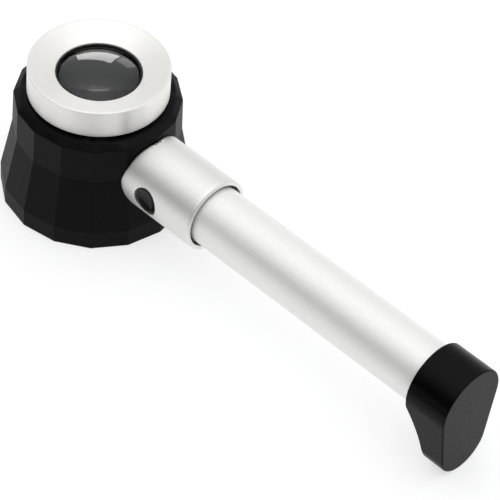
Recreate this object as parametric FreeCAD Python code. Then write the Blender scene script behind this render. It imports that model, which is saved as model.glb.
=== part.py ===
"""Viewing loupe: a sixteen-sided cup with a focusing eyepiece, a lit handle and a foot.

Millimetres, +Z up along the optical axis. The origin is the centre of the cup's bottom face, on
the table, and the handle leaves towards +X. The handle's pieces are drawn level, with their axis
on X, and place_on_handle lifts them to the handle's height and slope.
"""
import FreeCAD, Part
import math
import os

V = FreeCAD.Vector
X_AXIS = V(1, 0, 0)
Y_AXIS = V(0, 1, 0)
Z_AXIS = V(0, 0, 1)

# ---- the cup: circumscribed radii of its sixteen-sided outline, and heights ----
FACETS = 16
BASE_R = 28.6
BAND_TOP_Z = 6.1
WAIST_R = 25.1
WAIST_Z = 23.8
RIM_R = 24.8
RIM_Z = 35.1
CREST_R = 22.9
CREST_Z = 36.6
LIP_R = 22.5
CUP_TOP_Z = 36.9
CUP_WALL_FOOT_R = 25.4      # inside radius of the bottom band
CUP_WALL_WAIST_R = 22.2
CUP_WALL_TOP_R = 22.0
CUP_WALL_TOP_Z = 24.8
CUP_ROOF_Z = 33.8           # underside of the top plate
BARREL_HOLE_R = 18.9
APERTURE_R = 22.6           # round window in the bottom of the cup
APERTURE_LAND = 1.5
BASE_RING_TOP_R = 23.6
BASE_RING_TOP_Z = 2.4

# ---- eyepiece ----
RING_R = 20.9
RING_BOTTOM_Z = 37.6
RING_TOP_Z = 46.6
DISH_OUTER_R = 20.3
DISH_INNER_R = 12.65
DISH_INNER_Z = 44.2
RING_LIP_Z = 43.5           # underside of the dish
NECK_R = 17.9               # threaded neck, turns in the barrel
NECK_BORE_R = 16.6
NECK_BOTTOM_Z = 30.2
RING_EDGE_ROUND = 0.45
RING_FOOT_CHAMFER = 0.3
RUNNING_FIT = 0.05
DAMPING_Z = 32.6            # damping ring, in a groove round the neck
DAMPING_R = 17.5
DAMPING_WIRE_R = 0.42
GROOVE_PLAY = 0.1           # room on either side of a ring in its groove

# ---- lens cell and lenses ----
CELL_R = 15.6
CELL_BORE_R = 14.25
CELL_BOTTOM_Z = 23.0
CELL_TOP_Z = 43.9
CELL_NECK_R = 12.55
CELL_NECK_BORE_R = 12.15
CELL_SEAT_Z = 43.1          # where the upper lens meets the neck's bore
CELL_FLANGE_R = 16.5
CELL_FLANGE_T = 1.0
CELL_RING_T = 0.9
LENS_R = 14.2
UPPER_LENS_TOP_CURVE = 30.0
UPPER_LENS_EDGE_T = 2.2
LENS_SIDE_CURVE = 60.0      # the two surfaces that face each other
LENS_GAP_R = 13.2           # inner radius of the spacer
SPACER_T = 3.0
LOWER_LENS_EDGE_T = 3.0
LENS_RING_BORE_R = 12.4
LENS_RING_T = 2.0
SPANNER_NOTCH_W = 1.2
SPANNER_NOTCH_DEPTH = 0.8

# ---- barrel, board and lights under the cup's roof ----
FLANGE_BOTTOM_Z = 26.5
FLANGE_TOP_Z = 29.5
FLANGE_R = 21.9
POST_CIRCLE_R = 20.65
POST_R = 1.7
POST_ANGLES = (60, 180, 300)
SMALL_SCREW_R = 0.8
SMALL_SCREW_L = 8.0
SMALL_HEAD_R = 1.3
SMALL_HEAD_T = 1.1
PIN_R = 1.0
PIN_Z = 28.0
PIN_START_R = 14.6
PIN_END_R = 21.5
PIN_SLOT_TOP_Z = 30.0
BOARD_BORE_R = 16.0
BOARD_R = 21.8
BOARD_T = 1.2
BOARD_BOTTOM_Z = FLANGE_BOTTOM_Z - BOARD_T
LED_ANGLES = (0, 120, 240)
LED_CIRCLE_R = 18.6
LED_DEPTH = 2.8
LED_WIDTH = 3.5
LED_T = 0.9
LED_WELL_R = 1.1
LED_WELL_DEPTH = 0.15
DIFFUSER_R = 21.9
DIFFUSER_RIM_R = 16.7
DIFFUSER_BOTTOM_Z = 21.8
DIFFUSER_TOP_Z = 22.9

# ---- handle, along its own axis ----
HANDLE_AXIS_Z = 22.0        # height of the handle's axis where it meets the optical axis
HANDLE_RISE_DEG = 1.25      # the axis climbs this much towards the foot
TUBE_R = 9.25
TUBE_BORE_R = 7.95
COLLAR_R = 11.4
COLLAR_BORE_R = 9.3
COLLAR_END_X = 50.3
COLLAR_MOUTH_R = 10.1
COLLAR_MOUTH_L = 1.6
COLLAR_END_ROUND = 1.25
INSIDE_WALL_X = 18.0        # stations on either side of the cup's wall
OUTSIDE_WALL_X = 30.0
CORE_END_X = 37.6           # end of the switch core inside the collar
POCKET_PLAY = 0.1
BUTTON_X = 32.5
BUTTON_R = 4.3
BUTTON_HOLE_R = 4.38
BUTTON_FACE_Y = -10.55
BUTTON_DISH = 1.5
BUTTON_LAND = 0.5           # flat rim round the finger dish
BUTTON_EDGE_ROUND = 0.3
BUTTON_FLANGE_R = 4.8
BUTTON_FLANGE_Y = -7.8
BUTTON_FLANGE_T = 0.9
BUTTON_SPRING_R = 4.0
BUTTON_SPRING_WIRE_R = 0.3
BUTTON_SPRING_TURNS = 2.5
SWITCH_START_X = 29.5
SWITCH_END_X = 35.5
SWITCH_HALF_W = 3.0
SWITCH_TOP_Y = -3.9
PLUNGER_R = 1.6
PLUNGER_REACH = 1.9
SWITCH_BOARD_START_X = 26.7
SWITCH_BOARD_HALF_W = 6.4
BOARD_Y = -0.4
GRUB_R = 1.25
GRUB_CORE_X = 31.0
GRUB_CORE_END_Z = -7.0
GRUB_TUBE_X = 43.5
GRUB_SINK = 0.35            # how far the grub screws lie below the collar's surface
TUBE_ORING_X = 49.3         # O-ring in the collar's mouth, the dark line round the tube
TUBE_ORING_R = 9.675
TUBE_ORING_WIRE_R = 0.41
HEAD_SCREW_Y = 5.5
HEAD_SCREW_Z = -4.5
HEAD_SCREW_SEAT_X = 23.2
WIRE_Y = 3.2
WIRE_Z = 2.2
WIRE_R = 0.45
WIRE_HOLE_R = 0.6
WIRE_START_X = 20.0
WIRE_END_X = 27.6
WIRE_RISE = 0.62
HEAD_SCREW_R = 1.0
HEAD_SCREW_L = 5.6
HEAD_SCREW_HEAD_R = 2.0
HEAD_SCREW_HEAD_T = 1.4
SOCKET_SHARE = 0.6          # of a screw head's radius and thickness

# ---- AA cells, 14.5 mm across and 50.5 mm long with the pip ----
CELL_AA_R = 7.2
CELL_AA_BODY_L = 49.5
PIP_R = 2.75
PIP_L = 1.0
CELL_AA_ROUND = 0.5
CONTACT_R = 5.0
CONTACT_T = 1.0
CONTACT_CHAMFER = 0.2
WASHER_T = 0.6
LINER_T = 0.5
LINER_GAP = 0.5
CELLS_START_X = CORE_END_X + CONTACT_T
CELLS_END_X = CELLS_START_X + 2 * (CELL_AA_BODY_L + PIP_L)

# ---- end cap ----
CAP_BACK_X = 134.1
CAP_FACE_X = 147.7
CAP_R = 11.2
FOOT_TIP_R = 8.8
FOOT_BACK_X = 140.7         # back of the foot at its tip
RELIEF_START_Z = -3.5
RELIEF_R = 43.0
RELIEF_MARGIN = 5.0
CAP_WALL = 1.6
CAP_LIP_L = 4.5             # plastic lip in front of the threaded insert
CAP_BORE_R = TUBE_R + 0.1
INSERT_R = 10.3
INSERT_FLOOR_T = 0.8
CAP_CONTACT_R = 7.5
CAP_CONTACT_T = 0.75
CAP_CONTACT_X = CAP_FACE_X - CAP_WALL - INSERT_FLOOR_T - RUNNING_FIT - CAP_CONTACT_T
CAP_EDGE_ROUND = 0.5
BATTERY_SPRING_R = 4.8
BATTERY_SPRING_WIRE_R = 0.4
BATTERY_SPRING_TURNS = 3.5
TUBE_END_X = 144.3
CAP_ORING_X = 137.9
CAP_ORING_R = 8.98
CAP_ORING_WIRE_R = 0.3

RISE = math.radians(HANDLE_RISE_DEG)
FOOT_REACH = (HANDLE_AXIS_Z + FOOT_BACK_X * math.sin(RISE)) / math.cos(RISE)
TOUCH = 0.01                # gap left where two curved seats meet
PAST = 1.0                  # how far a cutting shape runs past what it cuts


# ---- helpers ----
def sag(curve, r):
    """Depth of a spherical cap of the given radius of curvature, at radius r."""
    return curve - math.sqrt(curve * curve - r * r)


def tube(r_in, r_out, start, length, axis=Z_AXIS):
    """A ring of one thickness about an axis through the origin."""
    bore = Part.makeCylinder(r_in, length, axis * start, axis)
    return Part.makeCylinder(r_out, length, axis * start, axis).cut(bore)


def rod(r, start, end, axis=X_AXIS, at=V(0, 0, 0)):
    """A solid cylinder between two stations on an axis through a point."""
    return Part.makeCylinder(r, end - start, at + axis * start, axis)


def block(x0, x1, y0, y1, z0, z1):
    return Part.makeBox(x1 - x0, y1 - y0, z1 - z0, V(x0, y0, z0))


def turned(points):
    """Solid of revolution about Z from (r, z) corners."""
    corners = [V(r, 0, z) for r, z in points]
    face = Part.Face(Part.makePolygon(corners + corners[:1]))
    return face.revolve(V(0, 0, 0), Z_AXIS, 360)


def ring_groove(r_in, r_out, centre, wire_r, axis):
    """Cutting shape for the groove of a damping ring or O-ring."""
    half = wire_r + GROOVE_PLAY
    return tube(r_in, r_out, centre - half, 2 * half, axis)


def polar(r, angle_deg, z=0.0):
    angle = math.radians(angle_deg)
    return V(r * math.cos(angle), r * math.sin(angle), z)


def place_on_handle(shape):
    """Move a piece from the level drawing to the handle's height and slope."""
    lift = FreeCAD.Placement(V(0, 0, HANDLE_AXIS_Z), FreeCAD.Rotation(Y_AXIS, -HANDLE_RISE_DEG))
    moved = shape.copy()
    moved.Placement = lift.multiply(moved.Placement)
    return moved


def spring(radius, wire_r, length, turns, base, axis):
    """Round-wire helical spring between two planes, its axis through base."""
    rise = length - 2 * wire_r
    coil = Part.makeHelix(rise / turns, rise, radius)
    section = Part.Wire(Part.makeCircle(wire_r, V(radius, 0, 0), Y_AXIS))
    solid = Part.Wire(coil).makePipeShell([section], True, True)
    solid.translate(V(0, 0, wire_r))
    solid.Placement = FreeCAD.Placement(base, FreeCAD.Rotation(Z_AXIS, axis)).multiply(solid.Placement)
    return solid


def cheese_screw(r, length, head_r, head_t, base, axis):
    """Screw with a hexagon socket: base is the seat under the head, axis points into the work."""
    solid = rod(r, 0, length, axis, base).fuse(rod(head_r, -head_t, 0, axis, base)).removeSplitter()
    socket = prism(6, head_r * SOCKET_SHARE, 0, head_t * SOCKET_SHARE)
    socket.Placement = FreeCAD.Placement(base - axis * head_t, FreeCAD.Rotation(Z_AXIS, axis))
    return solid.cut(socket)


def grub_screw(r, start, end, base, axis):
    """Headless screw: start is the socket end."""
    socket = prism(6, r * SOCKET_SHARE, 0, r)
    socket.Placement = FreeCAD.Placement(base + axis * start, FreeCAD.Rotation(Z_AXIS, axis))
    return rod(r, start, end, axis, base).cut(socket)


def polygon(sides, r, z):
    corners = [polar(r, 360.0 * k / sides, z) for k in range(sides)]
    return Part.makePolygon(corners + corners[:1])


def prism(sides, r, z0, z1):
    return Part.Face(polygon(sides, r, z0)).extrude(V(0, 0, z1 - z0))


def group(solids):
    return Part.makeCompound(solids)


# ---- cup ----
def crest_circle():
    """Circle at the crest, split into one arc per facet so that it lofts to the polygon."""
    arcs = []
    for k in range(FACETS):
        angles = [360.0 * (k + step) / FACETS for step in (0, 0.5, 1)]
        arcs.append(Part.Arc(*[polar(CREST_R, angle, CREST_Z) for angle in angles]).toShape())
    return Part.Wire(arcs)


def cup_outside():
    """The cup's full outer shape, with no hollow."""
    outlines = [polygon(FACETS, BASE_R, 0), polygon(FACETS, BASE_R, BAND_TOP_Z),
                polygon(FACETS, WAIST_R, WAIST_Z), polygon(FACETS, RIM_R, RIM_Z), crest_circle()]
    tiers = [Part.makeLoft([low, high], True, True) for low, high in zip(outlines, outlines[1:])]
    lip = Part.makeCone(CREST_R, LIP_R, CUP_TOP_Z - CREST_Z, V(0, 0, CREST_Z))
    return tiers[0].multiFuse(tiers[1:] + [lip]).removeSplitter()


def base_skirt():
    hollow = turned([(0, -PAST), (CUP_WALL_FOOT_R, -PAST), (CUP_WALL_FOOT_R, BAND_TOP_Z),
                     (CUP_WALL_WAIST_R, WAIST_Z), (CUP_WALL_TOP_R, CUP_WALL_TOP_Z),
                     (CUP_WALL_TOP_R, CUP_ROOF_Z), (0, CUP_ROOF_Z)])
    cup = cup_outside().cut(hollow).cut(rod(BARREL_HOLE_R, CUP_ROOF_Z - PAST, CUP_TOP_Z + PAST, Z_AXIS))
    posts = [rod(POST_R, FLANGE_TOP_Z, CUP_ROOF_Z + PAST, Z_AXIS, polar(POST_CIRCLE_R, angle))
             for angle in POST_ANGLES]
    cup = cup.multiFuse(posts).removeSplitter()
    screw_holes = [rod(SMALL_SCREW_R, FLANGE_TOP_Z - PAST, CUP_ROOF_Z, Z_AXIS, polar(POST_CIRCLE_R, angle))
                   for angle in POST_ANGLES]
    side_holes = []
    for side in (-1, 1):
        screw_at = V(0, side * HEAD_SCREW_Y, HEAD_SCREW_Z)
        wire_at = V(0, side * WIRE_Y, WIRE_Z)
        side_holes.append(rod(HEAD_SCREW_HEAD_R + POCKET_PLAY, INSIDE_WALL_X, HEAD_SCREW_SEAT_X, at=screw_at))
        side_holes.append(rod(HEAD_SCREW_R, INSIDE_WALL_X, OUTSIDE_WALL_X, at=screw_at))
        side_holes.append(rod(WIRE_HOLE_R, INSIDE_WALL_X, OUTSIDE_WALL_X, at=wire_at))
    return cup.cut(screw_holes + [place_on_handle(hole) for hole in side_holes])


def base_ring():
    """Ring that frames the view, flush with the bottom of the cup, its bore flared upwards."""
    return turned([(APERTURE_R, 0), (CUP_WALL_FOOT_R, 0), (CUP_WALL_FOOT_R, BASE_RING_TOP_Z),
                   (BASE_RING_TOP_R, BASE_RING_TOP_Z), (APERTURE_R, APERTURE_LAND)])


# ---- barrel, eyepiece ring and lens cell ----
def focus_barrel():
    bore_r = NECK_R + RUNNING_FIT
    barrel = turned([(CELL_R + RUNNING_FIT, FLANGE_BOTTOM_Z), (FLANGE_R, FLANGE_BOTTOM_Z),
                     (FLANGE_R, FLANGE_TOP_Z), (BARREL_HOLE_R, FLANGE_TOP_Z),
                     (BARREL_HOLE_R, CREST_Z), (bore_r, CREST_Z), (bore_r, FLANGE_TOP_Z),
                     (CELL_R + RUNNING_FIT, FLANGE_TOP_Z)])
    holes = [rod(SMALL_SCREW_R, FLANGE_BOTTOM_Z - PAST, FLANGE_TOP_Z + PAST, Z_AXIS,
                 polar(POST_CIRCLE_R, angle)) for angle in POST_ANGLES]
    # The posts of the cup stand on the flange, beside the barrel's tube.
    post_room = [rod(POST_R, FLANGE_TOP_Z, CREST_Z, Z_AXIS, polar(POST_CIRCLE_R, angle))
                 for angle in POST_ANGLES]
    holes.append(rod(PIN_R, 0, FLANGE_R + PAST, Y_AXIS, V(0, 0, PIN_Z)))
    return barrel.cut(holes + post_room)


def guide_pin():
    return rod(PIN_R, PIN_START_R, PIN_END_R, Y_AXIS, V(0, 0, PIN_Z))


def eyepiece_ring():
    ring = turned([(NECK_BORE_R, NECK_BOTTOM_Z), (NECK_R, NECK_BOTTOM_Z), (NECK_R, RING_BOTTOM_Z),
                   (RING_R - RING_FOOT_CHAMFER, RING_BOTTOM_Z), (RING_R, RING_BOTTOM_Z + RING_FOOT_CHAMFER),
                   (RING_R, RING_TOP_Z), (DISH_OUTER_R, RING_TOP_Z), (DISH_INNER_R, DISH_INNER_Z),
                   (DISH_INNER_R, RING_LIP_Z), (NECK_BORE_R, RING_LIP_Z)])
    crest = [e for e in ring.Edges if abs(e.BoundBox.ZMin - RING_TOP_Z) < 1e-6
             and abs(e.BoundBox.XMax - RING_R) < 1e-6]
    ring = ring.makeFillet(RING_EDGE_ROUND, crest)
    return ring.cut(ring_groove(DAMPING_R - DAMPING_WIRE_R, NECK_R + PAST, DAMPING_Z, DAMPING_WIRE_R, Z_AXIS))


def damping_ring():
    return Part.makeTorus(DAMPING_R, DAMPING_WIRE_R, V(0, 0, DAMPING_Z), Z_AXIS)


def lens_cell():
    flange_top = RING_LIP_Z - RUNNING_FIT
    flange_bottom = flange_top - CELL_FLANGE_T
    cell = turned([(CELL_BORE_R, CELL_BOTTOM_Z), (CELL_R, CELL_BOTTOM_Z), (CELL_R, flange_bottom),
                   (CELL_FLANGE_R, flange_bottom), (CELL_FLANGE_R, flange_top),
                   (CELL_NECK_R, flange_top), (CELL_NECK_R, CELL_TOP_Z),
                   (CELL_NECK_BORE_R, CELL_TOP_Z), (CELL_NECK_BORE_R, UPPER_EDGE_TOP_Z),
                   (CELL_BORE_R, UPPER_EDGE_TOP_Z)])
    # The plate over the lens is hollowed to the lens' own curve.
    lens_room = rod(CELL_BORE_R, CELL_BOTTOM_Z, CELL_TOP_Z, Z_AXIS)
    lens_room = lens_room.common(spherical_side(UPPER_LENS_TOP_CURVE, UPPER_APEX_Z + TOUCH, True))
    slot_half = PIN_R + RUNNING_FIT
    slot = block(-slot_half, slot_half, CELL_BORE_R - PAST, CELL_R + PAST, CELL_BOTTOM_Z - PAST,
                 PIN_SLOT_TOP_Z)
    return cell.cut([lens_room, slot])


def cell_retaining_ring():
    top = RING_LIP_Z - RUNNING_FIT - CELL_FLANGE_T - RUNNING_FIT
    return tube(CELL_R + 2 * RUNNING_FIT, NECK_BORE_R, top - CELL_RING_T, CELL_RING_T)


def spherical_side(curve, apex_z, upwards):
    """The half space behind a lens surface, as a ball."""
    centre_z = apex_z - curve if upwards else apex_z + curve
    return Part.makeSphere(curve, V(0, 0, centre_z))


UPPER_APEX_Z = CELL_SEAT_Z + sag(UPPER_LENS_TOP_CURVE, CELL_NECK_BORE_R) - TOUCH
UPPER_EDGE_TOP_Z = UPPER_APEX_Z - sag(UPPER_LENS_TOP_CURVE, LENS_R)
UPPER_EDGE_BOTTOM_Z = UPPER_EDGE_TOP_Z - UPPER_LENS_EDGE_T
LENS_SIDE_STEP = sag(LENS_SIDE_CURVE, LENS_R) - sag(LENS_SIDE_CURVE, LENS_GAP_R)
SPACER_TOP_Z = UPPER_EDGE_BOTTOM_Z - LENS_SIDE_STEP - TOUCH
SPACER_BOTTOM_Z = SPACER_TOP_Z - SPACER_T
LOWER_EDGE_TOP_Z = SPACER_BOTTOM_Z - LENS_SIDE_STEP - TOUCH
LOWER_BOTTOM_Z = LOWER_EDGE_TOP_Z - LOWER_LENS_EDGE_T


def upper_lens():
    bottom_apex = UPPER_EDGE_BOTTOM_Z - sag(LENS_SIDE_CURVE, LENS_R)
    blank = rod(LENS_R, bottom_apex - PAST, UPPER_APEX_Z + PAST, Z_AXIS)
    lens = blank.common(spherical_side(UPPER_LENS_TOP_CURVE, UPPER_APEX_Z, True))
    return lens.common(spherical_side(LENS_SIDE_CURVE, bottom_apex, False))


def lens_spacer():
    return tube(LENS_GAP_R, LENS_R, SPACER_BOTTOM_Z, SPACER_T)


def lower_lens():
    apex = LOWER_EDGE_TOP_Z + sag(LENS_SIDE_CURVE, LENS_R)
    blank = rod(LENS_R, LOWER_BOTTOM_Z, apex + PAST, Z_AXIS)
    return blank.common(spherical_side(LENS_SIDE_CURVE, apex, True))


def lens_retaining_ring():
    """Ring under the lower lens, with two notches for the spanner that turns it."""
    bottom = LOWER_BOTTOM_Z - LENS_RING_T
    ring = tube(LENS_RING_BORE_R, CELL_BORE_R, bottom, LENS_RING_T)
    half = SPANNER_NOTCH_W / 2
    notch = block(-CELL_BORE_R, CELL_BORE_R, -half, half, bottom - PAST, bottom + SPANNER_NOTCH_DEPTH)
    return ring.cut(notch)


# ---- lights ----
def led_board():
    board = tube(BOARD_BORE_R, BOARD_R, BOARD_BOTTOM_Z, BOARD_T)
    return board.cut([rod(SMALL_SCREW_R, BOARD_BOTTOM_Z - PAST, FLANGE_BOTTOM_Z + PAST, Z_AXIS,
                          polar(POST_CIRCLE_R, angle)) for angle in POST_ANGLES])


def barrel_screws():
    return group([cheese_screw(SMALL_SCREW_R, SMALL_SCREW_L, SMALL_HEAD_R, SMALL_HEAD_T,
                               polar(POST_CIRCLE_R, angle, BOARD_BOTTOM_Z), Z_AXIS)
                  for angle in POST_ANGLES])


def leds():
    lamps = []
    face_z = BOARD_BOTTOM_Z - LED_T
    for angle in LED_ANGLES:
        lamp = block(-LED_DEPTH / 2, LED_DEPTH / 2, -LED_WIDTH / 2, LED_WIDTH / 2, face_z, BOARD_BOTTOM_Z)
        lamp = lamp.cut(rod(LED_WELL_R, face_z - PAST, face_z + LED_WELL_DEPTH, Z_AXIS))
        lamp.translate(V(LED_CIRCLE_R, 0, 0))
        lamp.rotate(V(0, 0, 0), Z_AXIS, angle)
        lamps.append(lamp)
    return group(lamps)


def light_diffuser():
    """Frosted ring with a rim that stands against the board."""
    return turned([(BOARD_BORE_R, DIFFUSER_BOTTOM_Z), (DIFFUSER_R, DIFFUSER_BOTTOM_Z),
                   (DIFFUSER_R, DIFFUSER_TOP_Z), (DIFFUSER_RIM_R, DIFFUSER_TOP_Z),
                   (DIFFUSER_RIM_R, BOARD_BOTTOM_Z), (BOARD_BORE_R, BOARD_BOTTOM_Z)])


# ---- collar, switch and button, drawn level ----
def level_cup():
    """The cup's outer shape in the level drawing, to cut the ends that sit against it."""
    cup = cup_outside()
    lower = FreeCAD.Placement(V(0, 0, HANDLE_AXIS_Z), FreeCAD.Rotation(Y_AXIS, -HANDLE_RISE_DEG))
    cup.Placement = lower.inverse().multiply(cup.Placement)
    return cup


def button_axis():
    return V(BUTTON_X, 0, 0)


def grub_holes():
    """One hole into the core and one through the battery tube."""
    return [rod(GRUB_R, -COLLAR_R - PAST, GRUB_CORE_END_Z + POCKET_PLAY, Z_AXIS, V(GRUB_CORE_X, 0, 0)),
            rod(GRUB_R, -COLLAR_R - PAST, -TUBE_BORE_R + PAST, Z_AXIS, V(GRUB_TUBE_X, 0, 0))]


def handle_collar():
    collar = rod(COLLAR_R, INSIDE_WALL_X, COLLAR_END_X).cut(level_cup())
    rim = [e for e in collar.Edges if abs(e.BoundBox.XMin - COLLAR_END_X) < 1e-4]
    collar = collar.makeFillet(COLLAR_END_ROUND, rim)
    collar = collar.cut(rod(COLLAR_BORE_R, 0, COLLAR_END_X + PAST))
    collar = collar.cut(rod(COLLAR_MOUTH_R, COLLAR_END_X - COLLAR_MOUTH_L, COLLAR_END_X + PAST))
    collar = collar.cut(rod(BUTTON_HOLE_R, -COLLAR_R - PAST, SWITCH_TOP_Y, Y_AXIS, button_axis()))
    return collar.cut(grub_holes())


def switch_chassis():
    core = rod(COLLAR_BORE_R, INSIDE_WALL_X, CORE_END_X).cut(level_cup())
    switch_half = SWITCH_HALF_W + POCKET_PLAY
    board_half = SWITCH_BOARD_HALF_W + POCKET_PLAY
    pockets = [rod(BUTTON_FLANGE_R + POCKET_PLAY, -COLLAR_R, SWITCH_TOP_Y, Y_AXIS, button_axis()),
               block(SWITCH_START_X - POCKET_PLAY, CORE_END_X + PAST, SWITCH_TOP_Y, BOARD_Y,
                     -switch_half, switch_half),
               block(SWITCH_BOARD_START_X - POCKET_PLAY, CORE_END_X + PAST, BOARD_Y, BOARD_Y + BOARD_T,
                     -board_half, board_half)]
    for side in (-1, 1):
        pockets.append(rod(HEAD_SCREW_R, INSIDE_WALL_X, HEAD_SCREW_SEAT_X + HEAD_SCREW_L,
                           at=V(0, side * HEAD_SCREW_Y, HEAD_SCREW_Z)))
        pockets.append(rod(WIRE_HOLE_R, INSIDE_WALL_X, WIRE_END_X + WIRE_HOLE_R,
                           at=V(0, side * WIRE_Y, WIRE_Z)))
        pockets.append(rod(WIRE_HOLE_R, 0, WIRE_Y, Y_AXIS * side, V(WIRE_END_X, 0, WIRE_Z)))
    return core.cut(pockets + grub_holes())


def head_screws():
    return group([cheese_screw(HEAD_SCREW_R, HEAD_SCREW_L, HEAD_SCREW_HEAD_R, HEAD_SCREW_HEAD_T,
                               V(HEAD_SCREW_SEAT_X, side * HEAD_SCREW_Y, HEAD_SCREW_Z), X_AXIS)
                  for side in (-1, 1)])


def collar_set_screws():
    start = -COLLAR_R + GRUB_SINK
    return group([grub_screw(GRUB_R, start, GRUB_CORE_END_Z, V(GRUB_CORE_X, 0, 0), Z_AXIS),
                  grub_screw(GRUB_R, start, -TUBE_BORE_R, V(GRUB_TUBE_X, 0, 0), Z_AXIS)])


def push_button():
    """Stem with a finger dish, and a flange that the collar holds in."""
    stem = rod(BUTTON_R, BUTTON_FACE_Y, BUTTON_FLANGE_Y, Y_AXIS, button_axis())
    flange_end = BUTTON_FLANGE_Y + BUTTON_FLANGE_T
    flange = rod(BUTTON_FLANGE_R, BUTTON_FLANGE_Y, flange_end, Y_AXIS, button_axis())
    button = stem.fuse(flange).removeSplitter()
    rim = [e for e in button.Edges if abs(e.BoundBox.YMax - BUTTON_FACE_Y) < 1e-6]
    button = button.makeFillet(BUTTON_EDGE_ROUND, rim)
    dish_r = BUTTON_R - BUTTON_LAND
    ball_r = (dish_r ** 2 + BUTTON_DISH ** 2) / (2 * BUTTON_DISH)
    ball = Part.makeSphere(ball_r, V(BUTTON_X, BUTTON_FACE_Y + BUTTON_DISH - ball_r, 0))
    return button.cut(ball)


def button_spring():
    start_y = BUTTON_FLANGE_Y + BUTTON_FLANGE_T
    return spring(BUTTON_SPRING_R, BUTTON_SPRING_WIRE_R, SWITCH_TOP_Y - start_y, BUTTON_SPRING_TURNS,
                  V(BUTTON_X, start_y, 0), Y_AXIS)


def switch_body():
    body = block(SWITCH_START_X, SWITCH_END_X, SWITCH_TOP_Y, BOARD_Y, -SWITCH_HALF_W, SWITCH_HALF_W)
    plunger = rod(PLUNGER_R, SWITCH_TOP_Y - PLUNGER_REACH, SWITCH_TOP_Y, Y_AXIS, button_axis())
    return body.fuse(plunger).removeSplitter()


def switch_board():
    return block(SWITCH_BOARD_START_X, CORE_END_X, BOARD_Y, BOARD_Y + BOARD_T,
                 -SWITCH_BOARD_HALF_W, SWITCH_BOARD_HALF_W)


def lead_wires():
    """Two leads: off the switch board, straight through the cup's wall, and up to the LED board."""
    leads = []
    for side in (-1, 1):
        board_face = BOARD_Y if side < 0 else BOARD_Y + BOARD_T
        corners = [V(x, side * WIRE_Y, WIRE_Z) for x in (WIRE_START_X, WIRE_END_X)]
        bends = [Part.makeSphere(WIRE_R, corner) for corner in corners]
        up = rod(WIRE_R, 0, WIRE_RISE, Z_AXIS, corners[0])
        across = rod(WIRE_R, side * board_face, WIRE_Y, Y_AXIS * side, V(WIRE_END_X, 0, WIRE_Z))
        run = rod(WIRE_R, WIRE_START_X, WIRE_END_X, at=V(0, side * WIRE_Y, WIRE_Z))
        leads.append(run.multiFuse(bends + [up, across]).removeSplitter())
    return group(leads)


def front_contact():
    disc = rod(CONTACT_R, CORE_END_X, CELLS_START_X)
    outer_edge = [e for e in disc.Edges if abs(e.BoundBox.XMin - CELLS_START_X) < 1e-6]
    return disc.makeChamfer(CONTACT_CHAMFER, outer_edge)


def ground_washer():
    return tube(TUBE_BORE_R, TUBE_R - RUNNING_FIT, CORE_END_X, WASHER_T, X_AXIS)


# ---- battery tube and cells, drawn level ----
def handle_tube():
    start_x = CORE_END_X + WASHER_T
    shell = tube(TUBE_BORE_R, TUBE_R, start_x, TUBE_END_X - start_x, X_AXIS)
    groove = ring_groove(CAP_ORING_R - CAP_ORING_WIRE_R, TUBE_R + PAST, CAP_ORING_X, CAP_ORING_WIRE_R, X_AXIS)
    return shell.cut([groove] + grub_holes())


def battery_liner():
    start_x, end_x = CELLS_START_X + LINER_GAP, CELLS_END_X - LINER_GAP
    return tube(TUBE_BORE_R - LINER_T, TUBE_BORE_R, start_x, end_x - start_x, X_AXIS)


def battery(start_x):
    """AA cell with its pip towards the cup."""
    body = rod(CELL_AA_R, start_x + PIP_L, start_x + PIP_L + CELL_AA_BODY_L)
    body = body.makeFillet(CELL_AA_ROUND, [e for e in body.Edges if e.BoundBox.XLength < 1e-6])
    return body.fuse(rod(PIP_R, start_x, start_x + PIP_L + PAST)).removeSplitter()


def tube_oring():
    return Part.makeTorus(TUBE_ORING_R, TUBE_ORING_WIRE_R, V(TUBE_ORING_X, 0, 0), X_AXIS)


def cap_oring():
    return Part.makeTorus(CAP_ORING_R, CAP_ORING_WIRE_R, V(CAP_ORING_X, 0, 0), X_AXIS)


# ---- end cap, drawn level ----
def tongue_outline(x):
    """Round cap running into the foot: two arcs joined by tangent sides."""
    drop = FOOT_REACH - FOOT_TIP_R
    lean = math.asin((CAP_R - FOOT_TIP_R) / drop)
    side_y, side_z = math.cos(lean), -math.sin(lean)
    cap_left, cap_right = [V(x, s * CAP_R * side_y, CAP_R * side_z) for s in (-1, 1)]
    tip_left, tip_right = [V(x, s * FOOT_TIP_R * side_y, FOOT_TIP_R * side_z - drop) for s in (-1, 1)]
    edges = [Part.Arc(cap_right, V(x, 0, CAP_R), cap_left).toShape(),
             Part.LineSegment(cap_left, tip_left).toShape(),
             Part.Arc(tip_left, V(x, 0, -FOOT_REACH), tip_right).toShape(),
             Part.LineSegment(tip_right, cap_right).toShape()]
    return Part.Wire(edges)


def foot_relief():
    """Hollow curve behind the foot, cut right across it."""
    start = V(CAP_BACK_X, 0, RELIEF_START_Z)
    end = V(FOOT_BACK_X, 0, -FOOT_REACH)
    chord = end - start
    bulge = sag(RELIEF_R, chord.Length / 2)
    across = V(-chord.z, 0, chord.x) / chord.Length
    middle = (start + end) / 2 + across * bulge
    below = V(FOOT_BACK_X, 0, -FOOT_REACH - RELIEF_MARGIN)
    outer = V(CAP_BACK_X - RELIEF_MARGIN, 0, -FOOT_REACH - RELIEF_MARGIN)
    back = V(CAP_BACK_X - RELIEF_MARGIN, 0, RELIEF_START_Z)
    wire = Part.Wire([Part.Arc(start, middle, end).toShape(), Part.makeLine(end, below),
                      Part.makeLine(below, outer), Part.makeLine(outer, back), Part.makeLine(back, start)])
    relief = Part.Face(wire).extrude(V(0, 4 * CAP_R, 0))
    relief.translate(V(0, -2 * CAP_R, 0))
    return relief


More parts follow.
